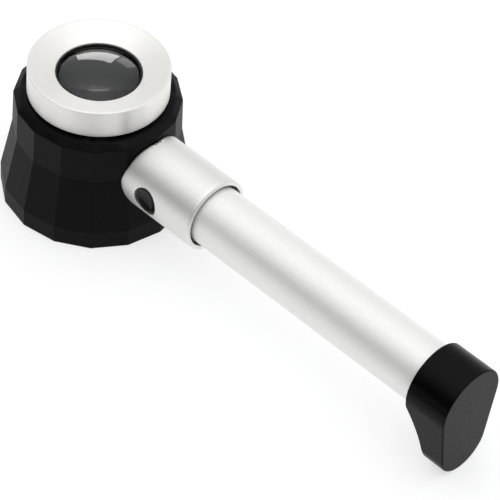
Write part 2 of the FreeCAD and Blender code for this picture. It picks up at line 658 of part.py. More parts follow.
def end_cap():
    cap = Part.Face(tongue_outline(CAP_BACK_X)).extrude(V(CAP_FACE_X - CAP_BACK_X, 0, 0))
    cap = cap.cut(foot_relief())
    face_edges = [e for e in cap.Edges if abs(e.BoundBox.XMin - CAP_FACE_X) < 1e-6]
    cap = cap.makeFillet(CAP_EDGE_ROUND, face_edges)
    pocket = rod(INSERT_R, CAP_BACK_X + CAP_LIP_L, CAP_FACE_X - CAP_WALL)
    return cap.cut([rod(CAP_BORE_R, CAP_BACK_X - PAST, CAP_BACK_X + CAP_LIP_L + PAST), pocket])


def cap_insert():
    shell = rod(INSERT_R, CAP_BACK_X + CAP_LIP_L, CAP_FACE_X - CAP_WALL)
    return shell.cut(rod(TUBE_R + RUNNING_FIT, CAP_BACK_X, CAP_FACE_X - CAP_WALL - INSERT_FLOOR_T))


def cap_contact():
    return rod(CAP_CONTACT_R, CAP_CONTACT_X, CAP_CONTACT_X + CAP_CONTACT_T)


def battery_spring():
    return spring(BATTERY_SPRING_R, BATTERY_SPRING_WIRE_R, CAP_CONTACT_X - CELLS_END_X, BATTERY_SPRING_TURNS,
                  V(CELLS_END_X, 0, 0), X_AXIS)


HEAD_PIECES = [base_skirt, base_ring, focus_barrel, guide_pin, eyepiece_ring, damping_ring, lens_cell,
               cell_retaining_ring, upper_lens, lens_spacer, lower_lens, lens_retaining_ring, led_board,
               barrel_screws, leds, light_diffuser]
HANDLE_PIECES = [handle_collar, switch_chassis, head_screws, collar_set_screws, push_button,
                 button_spring, switch_body, switch_board, lead_wires, front_contact, ground_washer,
                 handle_tube, battery_liner, tube_oring, cap_oring, end_cap, cap_insert, cap_contact,
                 battery_spring]


def main():
    os.makedirs("parts", exist_ok=True)
    shapes = {make.__name__: make() for make in HEAD_PIECES}
    shapes.update({make.__name__: place_on_handle(make()) for make in HANDLE_PIECES})
    starts = {"front_battery": CELLS_START_X, "rear_battery": CELLS_START_X + CELL_AA_BODY_L + PIP_L}
    shapes.update({name: place_on_handle(battery(start)) for name, start in starts.items()})
    for name, shape in shapes.items():
        shape.exportStep(f"parts/{name}.step")
        bad = "" if shape.isValid() else "  NOT VALID"
        print(f"{name}: {len(shape.Solids)} solid(s), {shape.Volume:.1f} mm3{bad}")


main()
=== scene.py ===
"""Looks of the viewing loupe: fine meshes for what shows, a material for every piece, and a studio.

The meshes are drawn in millimetres in the CAD's frame and scaled once, in finish_piece. The origin
is the centre of the cup's bottom face, +Z is the optical axis, and the handle leaves towards +X.
"""
import math

import bmesh
import bpy
from mathutils import Matrix, Quaternion, Vector


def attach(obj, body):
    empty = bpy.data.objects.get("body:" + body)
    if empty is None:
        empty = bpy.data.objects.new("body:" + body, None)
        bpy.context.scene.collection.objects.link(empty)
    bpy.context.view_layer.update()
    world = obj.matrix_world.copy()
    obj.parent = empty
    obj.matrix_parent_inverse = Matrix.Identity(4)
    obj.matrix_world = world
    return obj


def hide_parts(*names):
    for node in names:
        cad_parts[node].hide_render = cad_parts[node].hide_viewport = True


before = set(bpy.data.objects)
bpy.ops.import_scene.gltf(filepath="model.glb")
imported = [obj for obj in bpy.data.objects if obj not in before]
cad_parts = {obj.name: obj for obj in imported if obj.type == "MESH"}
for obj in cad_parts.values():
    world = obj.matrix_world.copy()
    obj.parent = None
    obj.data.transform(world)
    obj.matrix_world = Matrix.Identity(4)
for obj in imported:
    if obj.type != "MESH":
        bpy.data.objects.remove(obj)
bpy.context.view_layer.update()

MM = 0.001

# ---- camera ----
CAMERA_AZIMUTH = 40.998
CAMERA_ELEVATION = 45.300
CAMERA_ROLL = 5.790
CAMERA_DISTANCE = 718.793
CAMERA_LENS = 171.12
AIM_RIGHT = 46.769      # the camera's axis passes the origin this far to its right,
AIM_UP = -20.702        # and this far above

# ---- studio: lengths in metres, heights and ways on the unit sphere ----
FAR_LOW, FAR_HIGH = 0.72, 0.90      # the room behind the object, at the horizon and higher up
NEAR_LOW, NEAR_HIGH = 0.06, 1.20    # the room on the button's side, which is dark low down
DARK_SIDE = Vector((0.115, -0.993, 0.0)).normalized()   # the way to the button's side
ROOM_TURN = (-0.3, 0.5)             # how far round to the dark side the room changes
ROOM_RISE = (0.30, 0.90)            # heights between which the room changes
ROOM_TINT = (0.985, 0.99, 1.0, 1)
PANEL = 0.65                        # the softbox overhead, brightest at its middle
PANEL_X, PANEL_SPREAD_X = -0.05, 0.9
PANEL_Y, PANEL_SPREAD_Y = 0.08, 0.75
PANEL_RISE = (0.3, 0.6)
FLOOR_R = 4.0
FLOOR_SEGMENTS = 128
FLOOR_GLOW = 1.30                   # the table is lit from below
FLOOR_SHADE = 0.52                  # share of the floor's own shading in what the camera sees
FLOOR_BACKLIGHT = 0.35              # share of the glow in what the floor sends to the object
PAINTED_DARK_ALONG = (0.03, 0.09)           # painted dark reflection: glossy rays see the floor black here, fading in along the handle
PAINTED_DARK_BESIDE = (-0.055, -0.130)      # and away from it on the button's side
WINDOW_AIM = Vector((0.02, 0, 0.03))
WINDOW_TURN_DEG = -45
WINDOWS = (     # azimuth from +X towards +Y and elevation in degrees, distance, width, height, watts
    ("window_left", 140, 11, 1.1, 0.60, 0.60, 5.5),
    ("window_right", 119, 11, 0.9, 0.25, 0.50, 0.5))

# ---- mesh helpers ----
SIDE_SHARE = 0.45       # a rounding takes at most this share of the sides beside it
ON_AXIS = 1e-6
TOUCHING = 0.01         # lengths nearer than this count as the same
FLAT_WEIGHT = 80        # how strongly large faces keep their own normals

# ---- materials ----
GLASS_IOR = 1.52
COATING = 0.97          # share of the light that a coated face lets through without a reflection
QUARTER_TURN = 0.25     # in Blender's turns
BEND_START, BEND_END = 0.515, 0.58              # how sharp an edge is where its lightening starts and is full
NUMBER_ONE, NUMBER_TWO, NUMBER_OUT = 2, 3, 0    # sockets of a Mix node that mixes numbers
COLOUR_ONE, COLOUR_TWO, COLOUR_OUT = 6, 7, 2    # and of one that mixes colours

# ---- cup ----
FACETS = 16
FACET_ROUND = 0.9       # rounding of the upright edges between facets
FACET_STEPS = 5
FLAT_STEPS = 7          # columns of the mesh across a facet's flat part
HANDLE_FACETS = 3       # facets that the saddle can touch on either side of the handle's middle
BASE_R = 28.6
BAND_TOP_Z = 6.1
WAIST_R = 25.1
WAIST_Z = 23.8
RIM_R = 24.8
RIM_Z = 35.1
CREST_R = 22.9
CREST_Z = 36.6
LIP_R = 22.5
CUP_TOP_Z = 36.9
CUP_WALL_FOOT_R = 25.4
CUP_WALL_WAIST_R = 22.2
CUP_WALL_TOP_R = 22.0
CUP_WALL_TOP_Z = 24.8   # the inside of the wall is upright above this
CUP_ROOF_Z = 33.8
BARREL_HOLE_R = 18.9
FOOT_ROUND = 0.35
BAND_ROUND = 1.6
WAIST_ROUND = 2.0
RIM_ROUND = 0.45
CREST_ROUND = 0.25
INSIDE_ROUND = 0.5
CUP_ROUND_STEPS = 5
EDGE_ROUND = 0.15       # the broken edges of machined and moulded pieces
SHARP_ROUND = 0.12      # edges that look sharp

# ---- eyepiece and lenses ----
RING_R = 20.9
RING_BOTTOM_Z = 37.6
RING_TOP_Z = 46.6
DISH_OUTER_R = 20.3
DISH_INNER_R = 12.65
DISH_INNER_Z = 44.2
RING_LIP_Z = 43.5
NECK_R = 17.9
NECK_BORE_R = 16.6
NECK_BOTTOM_Z = 30.2
CELL_SEAT_Z = 43.1
CELL_NECK_BORE_R = 12.15
NECK_ROUND = 0.2
DISH_ROUND = 0.4
RING_FOOT_ROUND = 0.3
RING_TOP_ROUND = 0.25
RING_LIP_ROUND = 0.1
RING_SEGMENTS = 288
LENS_R = 14.2
LENS_TOP_CURVE = 30.0
LENS_SIDE_CURVE = 60.0
LENS_EDGE = 2.2
LENS_GAP = 0.01         # between the lens and the edge of the cell's neck
LENS_STEPS = 40
LENS_SEGMENTS = 160
EDGE_SLOPE = 0.5        # faces whose normals rise or fall less than this are the lens's edge
BARE_GLASS, BLACK_EDGE = 1, 2       # the lens's materials after the coated one

# ---- handle, drawn level along X ----
HANDLE_AXIS_Z = 22.0
HANDLE_RISE_DEG = 1.25
TUBE_R = 9.25
TUBE_BORE_R = 7.95
TUBE_START_X = 38.2
TUBE_END_X = 144.3
TUBE_ROUND = 0.2
TUBE_SEGMENTS = 224
COLLAR_R = 11.4
COLLAR_BORE_R = 9.3
COLLAR_END_X = 50.3
COLLAR_END_ROUND = 0.585
COLLAR_END_L = 1.25     # between the grid's last row and the collar's end
COLLAR_MOUTH_R = 10.1
COLLAR_MOUTH_L = 1.6
COLLAR_END_STEPS = 7
COLLAR_COLUMNS = 144
ROW_STEP = COLLAR_R * 2 * math.pi / COLLAR_COLUMNS
ROWS_BEFORE_BUTTON = 14
LEAST_ROW = 0.6         # share of a step that the last row keeps at least
SADDLE_ROUND = 0.8
SADDLE_STEPS = 6
FIT_ROUNDS = 4          # rounds in which saddle_x closes in on the cup's wall
NECK_IN_STEPS = 4       # rings between the saddle's uneven edge and the first straight row
BUTTON_X = 32.5
BUTTON_R = 4.3
BUTTON_DISH_R = 3.8
BUTTON_LAND_R = 3.9     # a ring on the flat land between the dish and the rounded edge
BUTTON_ROUND = 0.18
BUTTON_SEGMENTS = 96
BUTTON_HOLE_R = 4.38
BUTTON_HOLE_EDGE = 0.10
BUTTON_HOLE_CELLS = 12  # cells of the collar's grid from the hole's middle to its patch's edge
OUTER_HOLE_STEPS = 7
INNER_HOLE_STEPS = 2
HOLE_EDGE_STEPS = 4
BUTTON_FACE_Y = -10.55
BUTTON_DISH = 1.5
BUTTON_DISH_STEPS = 14
BUTTON_FLANGE_R = 4.8
BUTTON_FLANGE_Y = -7.8
BUTTON_FLANGE_T = 0.9
FLANGE_ROUND = 0.1
SWITCH_TOP_Y = -3.9
BUTTON_SPRING_R = 4.0
BUTTON_SPRING_WIRE_R = 0.3
BUTTON_SPRING_TURNS = 2.5
BUTTON_SPRING_L = 1.95  # its pressed length, so the button doesn't run through it when it goes in
SPRING_STEPS = 36       # in one turn
WIRE_SEGMENTS = 12
GRUB_R = 1.25
GRUB_EDGE = 0.12
GRUB_CELLS = 4
GRUB_ANGLE_DEG = 270
GRUB_XS = (31.0, 43.5)
CAP_BACK_X = 134.1
CAP_FACE_X = 147.7
CAP_R = 11.2
FOOT_TIP_R = 8.8
FOOT_BACK_X = 140.7
RELIEF_START_Z = -3.5
RELIEF_R = 43.0
CAP_EDGE_ROUND = 0.5
CAP_EDGE_STEPS = 5
CAP_BACK_ROUND = 0.22
CAP_BACK_EDGE_STEPS = 4
CAP_BORE_R = TUBE_R + 0.1
CAP_LIP_L = 4.5
INSERT_R = 10.3
CAP_FACE_T = 1.6
CAP_ROUND_STEPS = 96
TIP_STEPS = 40
SIDE_STEPS = 24
BACK_STEPS = 10

RISE = math.radians(HANDLE_RISE_DEG)
FOOT_REACH = (HANDLE_AXIS_Z + FOOT_BACK_X * math.sin(RISE)) / math.cos(RISE)
ON_HANDLE = Matrix.Translation((0, 0, HANDLE_AXIS_Z)) @ Matrix.Rotation(-RISE, 4, "Y")
ALONG_X = Matrix.Rotation(math.pi / 2, 4, "Y")
ALONG_Y = Matrix.Rotation(-math.pi / 2, 4, "X")


# ---- helpers for shader nodes; a tree is its nodes and its links ----
def wire(nodes, links, kind, inputs, **settings):
    """A shader node with its settings and inputs; an input is a value or another node's output."""
    node = nodes.new(kind)
    for label, value in settings.items():
        setattr(node, label, value)
    for slot, value in inputs.items():
        if isinstance(value, bpy.types.NodeSocket):
            links.new(value, node.inputs[slot])
        else:
            node.inputs[slot].default_value = value
    return node


def fade(tree, value, span, levels=(0.0, 1.0)):
    """Smooth change from the first level to the second as the value crosses the span."""
    settings = {"Value": value, "From Min": span[0], "From Max": span[1], "To Min": levels[0],
                "To Max": levels[1]}
    return wire(*tree, "ShaderNodeMapRange", settings, interpolation_type="SMOOTHSTEP").outputs["Result"]


def combine(tree, operation, one, two=0.0):
    """The result of a sum on one or two numbers."""
    return wire(*tree, "ShaderNodeMath", {0: one, 1: two}, operation=operation).outputs[0]


def split(tree, place):
    """A vector's X, Y and Z."""
    return wire(*tree, "ShaderNodeSeparateXYZ", {0: place}).outputs


# ---- camera, light and floor ----
def make_camera():
    azimuth, elevation = math.radians(CAMERA_AZIMUTH), math.radians(CAMERA_ELEVATION)
    roll = math.radians(CAMERA_ROLL)
    back = Vector((math.sin(azimuth) * math.cos(elevation), -math.cos(azimuth) * math.cos(elevation),
                   math.sin(elevation)))
    level = Vector((math.cos(azimuth), math.sin(azimuth), 0))
    lift = back.cross(level)
    right = math.cos(roll) * level + math.sin(roll) * lift
    up = -math.sin(roll) * level + math.cos(roll) * lift
    camera = bpy.data.objects.new("camera", bpy.data.cameras.new("camera"))
    camera.data.lens = CAMERA_LENS
    turn = Matrix((right, up, back)).transposed().to_4x4()
    place = right * AIM_RIGHT + up * AIM_UP + back * CAMERA_DISTANCE
    camera.matrix_world = Matrix.Translation(place * MM) @ turn
    bpy.context.scene.collection.objects.link(camera)
    bpy.context.scene.camera = camera


def window_pane(name, azimuth_deg, elevation_deg, distance, width, height, power):
    """A rectangular lamp that looks at the object, turned so that it is seen at a slant."""
    azimuth, elevation = math.radians(azimuth_deg), math.radians(elevation_deg)
    away = Vector((math.cos(azimuth) * math.cos(elevation), math.sin(azimuth) * math.cos(elevation),
                   math.sin(elevation)))
    data = bpy.data.lights.new(name, "AREA")
    data.shape = "RECTANGLE"
    data.size, data.size_y = width, height
    data.energy = power
    lamp = bpy.data.objects.new(name, data)
    lamp.location = WINDOW_AIM + away * distance
    lamp.rotation_mode = "QUATERNION"
    turn = Quaternion((0, 0, 1), math.radians(WINDOW_TURN_DEG))
    lamp.rotation_quaternion = turn @ (-away).to_track_quat("-Z", "Y")
    bpy.context.scene.collection.objects.link(lamp)
    return lamp


def light_lens(lens):
    """The panes of a window, that only the front lens mirrors."""
    only_lens = bpy.data.collections.new("lens_only")
    only_lens.objects.link(lens)
    for pane in WINDOWS:
        window_pane(*pane).light_linking.receiver_collection = only_lens


def make_world():
    """A softbox overhead in a room that is dark low down on the button's side, and light elsewhere."""
    world = bpy.data.worlds.new("studio")
    bpy.context.scene.world = world
    world.use_nodes = True
    tree = (world.node_tree.nodes, world.node_tree.links)
    tree[0].clear()
    way = wire(*tree, "ShaderNodeTexCoord", {}).outputs["Generated"]
    parts = split(tree, way)
    side = wire(*tree, "ShaderNodeVectorMath", {0: way, 1: DARK_SIDE}, operation="DOT_PRODUCT")
    low = fade(tree, side.outputs["Value"], ROOM_TURN, (FAR_LOW, NEAR_LOW))
    high = fade(tree, side.outputs["Value"], ROOM_TURN, (FAR_HIGH, NEAR_HIGH))
    risen = fade(tree, parts["Z"], ROOM_RISE)
    room = wire(*tree, "ShaderNodeMix", {"Factor": risen, NUMBER_ONE: low, NUMBER_TWO: high})
    panel = fade(tree, parts["Z"], PANEL_RISE)
    for name, middle, spread in (("X", PANEL_X, PANEL_SPREAD_X), ("Y", PANEL_Y, PANEL_SPREAD_Y)):
        off = combine(tree, "ABSOLUTE", combine(tree, "SUBTRACT", parts[name], middle))
        panel = combine(tree, "MULTIPLY", panel, fade(tree, off, (0, spread), (1, 0)))
    glow = combine(tree, "ADD", room.outputs[NUMBER_OUT], combine(tree, "MULTIPLY", panel, PANEL))
    sky = wire(*tree, "ShaderNodeBackground", {"Color": ROOM_TINT, "Strength": glow})
    wire(*tree, "ShaderNodeOutputWorld", {"Surface": sky.outputs[0]})


def floor_finish():
    """A pale floor that glows a little, with a painted dark reflection beside the handle that only glossy
    rays see.
    """
    finish = Finish("pale_floor", (0.93, 0.93, 0.935), 0.75, specular=0.1).mottle((0.91, 0.91, 0.92), 80)
    tree = finish.tree
    ray = wire(*tree, "ShaderNodeLightPath", {}).outputs
    seen = combine(tree, "MULTIPLY", ray["Is Camera Ray"], 1 - FLOOR_SHADE - FLOOR_BACKLIGHT)
    seen = combine(tree, "ADD", seen, FLOOR_BACKLIGHT)
    glow = wire(*tree, "ShaderNodeEmission", {"Strength": FLOOR_GLOW}).outputs[0]
    lit = wire(*tree, "ShaderNodeMixShader", {0: seen, 1: finish.shader.outputs[0], 2: glow}).outputs[0]
    place = split(tree, finish.place.outputs["Object"])
    # Painted dark reflection: glossy rays that land beside the handle see black emission instead of the
    # floor.
    painted_dark_patch = combine(tree, "MULTIPLY", fade(tree, place["X"], PAINTED_DARK_ALONG), fade(tree, place["Y"], PAINTED_DARK_BESIDE))
    painted_dark_share = combine(tree, "MULTIPLY", ray["Is Glossy Ray"], painted_dark_patch)
    # the black of the painted dark reflection
    black = wire(*tree, "ShaderNodeEmission", {"Strength": 0.0}).outputs[0]
    finish.show(wire(*tree, "ShaderNodeMixShader", {0: painted_dark_share, 1: lit, 2: black}))
    return finish


def make_floor():
    data = bpy.data.meshes.new("floor")
    bm = bmesh.new()
    bmesh.ops.create_circle(bm, cap_ends=True, segments=FLOOR_SEGMENTS, radius=FLOOR_R)
    bm.to_mesh(data)
    bm.free()
    floor = bpy.data.objects.new("floor", data)
    bpy.context.scene.collection.objects.link(floor)
    data.materials.append(floor_finish().material)


def make_studio():
    bpy.context.scene.view_settings.view_transform = "Standard"
    make_world()
    make_floor()


# ---- materials ----
class Finish:
    """A Principled material whose colour, roughness and relief come from procedural textures."""

    def __init__(self, name, colour, roughness, metallic=0.0, specular=0.5, **more):
        self.material = bpy.data.materials.new(name)
        self.material.use_nodes = True
        self.tree = (self.material.node_tree.nodes, self.material.node_tree.links)
        self.shader = self.tree[0]["Principled BSDF"]
        self.colour = (*colour, 1)
        self.roughness = roughness
        self.set("Base Color", self.colour)
        self.set("Roughness", roughness)
        self.set("Metallic", metallic)
        self.set("Specular IOR Level", specular)
        for label, value in more.items():
            self.set(label.replace("_", " ").title().replace("Ior", "IOR"), value)
        self.place = wire(*self.tree, "ShaderNodeTexCoord", {})
        self.normal = None

    def set(self, label, value):
        """Gives an input of the shader a value, or another node's output."""
        if isinstance(value, bpy.types.NodeSocket):
            self.tree[1].new(value, self.shader.inputs[label])
        else:
            self.shader.inputs[label].default_value = value

    def show(self, node):
        """Lets the surface be another shader."""
        self.tree[1].new(node.outputs[0], self.tree[0]["Material Output"].inputs["Surface"])

    def noise(self, size_mm, detail=3.0, stretch=(1, 1, 1)):
        """Noise whose blobs are about size_mm across, longer along an axis where stretch is large."""
        spread = wire(*self.tree, "ShaderNodeMapping", {"Scale": [1 / s for s in stretch],
                                                        "Vector": self.place.outputs["Object"]})
        return wire(*self.tree, "ShaderNodeTexNoise", {"Scale": 1 / (size_mm * MM), "Detail": detail,
                                                       "Vector": spread.outputs["Vector"]}).outputs["Fac"]

    def between(self, factor, low, high, start=0.35, end=0.65):
        """Numbers from low to high as the factor goes from start to end."""
        return wire(*self.tree, "ShaderNodeMapRange", {"From Min": start, "From Max": end, "To Min": low,
                                                       "To Max": high, "Value": factor}).outputs["Result"]

    def blend(self, factor, one, other):
        """Colours the surface between one colour, or a node's output, and another."""
        mix = wire(*self.tree, "ShaderNodeMix", {"Factor": factor, COLOUR_ONE: one, COLOUR_TWO: (*other, 1)},
                   data_type="RGBA")
        self.set("Base Color", mix.outputs[COLOUR_OUT])
        return self

    def mottle(self, other, size_mm, detail=3.0, stretch=(1, 1, 1)):
        """The colour wanders between its own and another."""
        return self.blend(self.between(self.noise(size_mm, detail, stretch), 0, 1), self.colour, other)

    def uneven_gloss(self, amount, size_mm, detail=4.0, stretch=(1, 1, 1)):
        spots = self.noise(size_mm, detail, stretch)
        self.set("Roughness", self.between(spots, self.roughness - amount, self.roughness + amount, 0.3, 0.7))
        return self

    def relief(self, height, depth_mm, strength=1.0):
        """Adds a bump; several stack."""
        inputs = {"Strength": strength, "Distance": depth_mm * MM, "Height": height}
        if self.normal:
            inputs["Normal"] = self.normal
        self.normal = wire(*self.tree, "ShaderNodeBump", inputs).outputs["Normal"]
        self.set("Normal", self.normal)
        return self

    def grain(self, size_mm, depth_mm, strength=1.0, detail=2.0, stretch=(1, 1, 1)):
        return self.relief(self.noise(size_mm, detail, stretch), depth_mm, strength)

    def turned_marks(self, pitch_mm, depth_mm, strength=1.0):
        """Fine grooves round the optical axis, as a lathe leaves them."""
        place = split(self.tree, self.place.outputs["Object"])
        flat = wire(*self.tree, "ShaderNodeCombineXYZ", {"X": place["X"], "Y": place["Y"]})
        radius = wire(*self.tree, "ShaderNodeVectorMath", {0: flat.outputs[0]}, operation="LENGTH")
        rows = wire(*self.tree, "ShaderNodeCombineXYZ", {"X": radius.outputs["Value"], "Y": place["Z"]})
        marks = wire(*self.tree, "ShaderNodeTexNoise", {"Scale": 1 / (pitch_mm * MM), "Detail": 2.0,
                                                        "Vector": rows.outputs[0]})
        return self.relief(marks.outputs["Fac"], depth_mm, strength)

    def spun(self, amount):
        """Highlights drawn out across the turning marks."""
        tangent = wire(*self.tree, "ShaderNodeTangent", {}, direction_type="RADIAL", axis="Z")
        self.set("Tangent", tangent.outputs[0])
        self.set("Anisotropic", amount)
        self.set("Anisotropic Rotation", QUARTER_TURN)
        return self

    def lighten_bends(self, colour, amount):
        """The mottled colour lightens a little where the surface bends outwards."""
        shape = wire(*self.tree, "ShaderNodeNewGeometry", {})
        edge = self.between(shape.outputs["Pointiness"], 0, amount, BEND_START, BEND_END)
        return self.blend(edge, self.shader.inputs["Base Color"].links[0].from_socket, colour)


def cup_polymer():
    finish = Finish("cup_polymer", (0.0008, 0.0008, 0.0010), 0.44, specular=0.095)
    finish.mottle((0.0014, 0.0014, 0.0017), 1.4).uneven_gloss(0.04, 0.9)
    return finish.grain(0.28, 0.012, 0.5).lighten_bends((0.010, 0.010, 0.011), 0.5)


def collar_aluminium():
    finish = Finish("collar_aluminium", (0.88, 0.88, 0.835), 0.46, 0.80)
    finish.mottle((0.88, 0.885, 0.875), 0.7).uneven_gloss(0.035, 0.5)
    return finish.grain(0.14, 0.004, 0.5)


def tube_aluminium():
    finish = Finish("tube_aluminium", (0.965, 0.965, 0.915), 0.48, 0.50)
    finish.mottle((0.93, 0.935, 0.92), 0.8).uneven_gloss(0.035, 0.5)
    return finish.grain(0.14, 0.004, 0.5)


def turned_aluminium():
    finish = Finish("turned_aluminium", (0.965, 0.955, 0.92), 0.40, 0.85)
    finish.mottle((0.94, 0.93, 0.895), 0.6).uneven_gloss(0.03, 0.4)
    return finish.turned_marks(0.10, 0.0022, 0.6).spun(0.8)


def black_aluminium():
    finish = Finish("black_aluminium", (0.006, 0.006, 0.0065), 0.42, specular=0.2)
    finish.mottle((0.021, 0.021, 0.022), 0.8)
    return finish.turned_marks(0.09, 0.003, 0.5)


def cap_polymer():
    finish = Finish("cap_polymer", (0.0012, 0.0012, 0.0013), 0.26, specular=0.09)
    finish.mottle((0.0016, 0.0016, 0.0018), 1.2).uneven_gloss(0.03, 0.7)
    return finish.grain(0.22, 0.004, 0.4).lighten_bends((0.008, 0.008, 0.009), 0.4)


def button_rubber():
    finish = Finish("button_black", (0.004, 0.0036, 0.0038), 0.28, specular=0.30)
    finish.mottle((0.007, 0.0062, 0.0065), 0.6).uneven_gloss(0.05, 0.5)
    return finish.grain(0.2, 0.008, 0.6)


def lens_glass(name="front_glass"):
    finish = Finish(name, (0.985, 0.99, 0.985), 0.0, transmission_weight=1.0, ior=GLASS_IOR)
    return finish.grain(6.0, 0.0003, 0.2)


def coated_glass(name):
    """Crown glass with an anti-reflection coating, which lets nearly all light through."""
    finish = lens_glass(name)
    clear = wire(*finish.tree, "ShaderNodeBsdfRefraction", {"Color": finish.colour, "IOR": GLASS_IOR})
    finish.show(wire(*finish.tree, "ShaderNodeMixShader",
                     {0: COATING, 1: finish.shader.outputs[0], 2: clear.outputs[0]}))
    return finish


def edge_paint():
    """Matt black on the edge of the front lens."""
    return Finish("edge_paint", (0.002, 0.002, 0.002), 0.7, specular=0.1).mottle((0.004, 0.004, 0.004), 2.0)


def frosted_plastic():
    finish = Finish("frosted_plastic", (0.86, 0.87, 0.88), 0.5, transmission_weight=0.6, ior=1.49)
    return finish.grain(0.25, 0.01, 0.5)


def bright_steel():
    finish = Finish("bright_steel", (0.60, 0.60, 0.59), 0.28, 1.0)
    return finish.mottle((0.50, 0.50, 0.50), 0.5).uneven_gloss(0.08, 0.4).grain(0.15, 0.003, 0.4)


def spring_steel():
    finish = Finish("spring_steel", (0.42, 0.42, 0.43), 0.24, 1.0)
    return finish.mottle((0.33, 0.33, 0.35), 0.6).grain(0.12, 0.002, 0.4, stretch=(4, 1, 1))


def turned_brass():
    finish = Finish("turned_brass", (0.80, 0.60, 0.27), 0.28, 1.0)
    return finish.mottle((0.70, 0.50, 0.22), 0.9).uneven_gloss(0.06, 0.5).grain(0.1, 0.003, 0.5)


def circuit_board():
    """Green solder mask over faint copper areas."""
    finish = Finish("circuit_board", (0.012, 0.10, 0.035), 0.35, specular=0.5)
    return finish.mottle((0.03, 0.19, 0.07), 1.1, 0.0).grain(0.5, 0.01, 0.4)


def lamp_phosphor():
    finish = Finish("lamp_phosphor", (0.83, 0.80, 0.66), 0.45, subsurface_weight=0.2)
    return finish.mottle((0.88, 0.78, 0.30), 0.9).grain(0.2, 0.006, 0.4)


def seal_rubber():
    finish = Finish("seal_rubber", (0.012, 0.012, 0.012), 0.55, specular=0.3)
    return finish.mottle((0.022, 0.022, 0.022), 0.4).grain(0.12, 0.004, 0.6)


def core_plastic():
    finish = Finish("core_plastic", (0.035, 0.035, 0.038), 0.5)
    return finish.mottle((0.05, 0.05, 0.054), 0.9).grain(0.3, 0.006, 0.5)


def liner_plastic():
    finish = Finish("liner_plastic", (0.70, 0.69, 0.64), 0.45, transmission_weight=0.15)
    return finish.mottle((0.62, 0.61, 0.57), 2.0).grain(0.4, 0.004, 0.4)


def cell_jacket():
    """Printed film on a battery cell: plain bands, no lettering."""
    finish = Finish("cell_jacket", (0.03, 0.16, 0.34), 0.28, coat_weight=0.5)
    return finish.mottle((0.045, 0.20, 0.40), 3.0, stretch=(6, 1, 1)).grain(0.4, 0.003, 0.3)


def wire_jacket():
    finish = Finish("wire_jacket", (0.42, 0.02, 0.02), 0.42)
    return finish.mottle((0.34, 0.015, 0.015), 0.5).grain(0.2, 0.004, 0.4)


def pale_coating():
    """White board in the lamp ring."""
    finish = Finish("lamp_board", (0.72, 0.73, 0.72), 0.4)
    return finish.mottle((0.64, 0.66, 0.65), 1.0).grain(0.4, 0.005, 0.4)


# ---- mesh helpers, in millimetres ----
def rounded(corners, steps=4):
    """Points of a closed outline whose corners are (a, b, rounding radius)."""
    points = []
    for i, (a, b, radius) in enumerate(corners):
        here = Vector((a, b))
        if radius == 0:
            points.append(here)
            continue
        back = Vector(corners[i - 1][:2]) - here
        ahead = Vector(corners[(i + 1) % len(corners)][:2]) - here
        u, v = back.normalized(), ahead.normalized()
        half = u.angle(v) / 2
        cut = min(radius / math.tan(half), SIDE_SHARE * back.length, SIDE_SHARE * ahead.length)
        radius = cut * math.tan(half)
        centre = here + (u + v).normalized() * (radius / math.sin(half))
        first, last = here + u * cut - centre, here + v * cut - centre
        turn = math.atan2(first.x * last.y - first.y * last.x, first.dot(last))
        for k in range(steps + 1):
            points.append(centre + Matrix.Rotation(turn * k / steps, 2) @ first)
    return points


def quarter(radius, steps):
    """A rounded edge, from the side to the face, as (inset from the side, drop from the face)."""
    turns = [math.pi / 2 * step / steps for step in range(steps + 1)]
    return [(radius * (1 - math.cos(turn)), radius * (1 - math.sin(turn))) for turn in turns]


def ring(bm, points):
    return [bm.verts.new(p) for p in points]


def bridge(bm, one, two):
    """Faces between two rings of the same number of points, or between a ring and a pole."""
    if len(one) == 1 and len(two) == 1:
        return
    count = max(len(one), len(two))
    for near in range(count):
        far = (near + 1) % count
        corners = [one[near % len(one)], one[far % len(one)], two[far % len(two)], two[near % len(two)]]
        bm.faces.new(list(dict.fromkeys(corners)))


def skin(bm, rings, closed=False):
    """Faces from each ring to the next, and from the last to the first of a closed set."""
    for one, two in zip(rings, rings[1:] + (rings[:1] if closed else [])):
        bridge(bm, one, two)


def circle(r, z, segments):
    """Points round the axis, or one point on it."""
    if r < ON_AXIS:
        return [Vector((0, 0, z))]
    angles = [2 * math.pi * k / segments for k in range(segments)]
    return [Vector((r * math.cos(a), r * math.sin(a), z)) for a in angles]


def lathe(outline, segments):
    """Solid of revolution about Z from a closed outline of (r, z) points."""
    bm = bmesh.new()
    skin(bm, [ring(bm, circle(r, z, segments)) for r, z in outline], closed=True)
    return bm


def finish_piece(name, bm, finish, body, replaced, place=Matrix.Identity(4)):
    """Turns a mesh drawn in millimetres into a piece that rides on a body."""
    bm.transform(Matrix.Scale(MM, 4) @ place)
    bmesh.ops.recalc_face_normals(bm, faces=bm.faces)
    data = bpy.data.meshes.new(name)
    bm.to_mesh(data)
    bm.free()
    data.polygons.foreach_set("use_smooth", [True] * len(data.polygons))
    data.materials.append(finish.material)
    piece = bpy.data.objects.new(name, data)
    bpy.context.scene.collection.objects.link(piece)
    flat = piece.modifiers.new("flat faces", "WEIGHTED_NORMAL")
    flat.weight = FLAT_WEIGHT
    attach(piece, body)
    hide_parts(*replaced)
    return piece


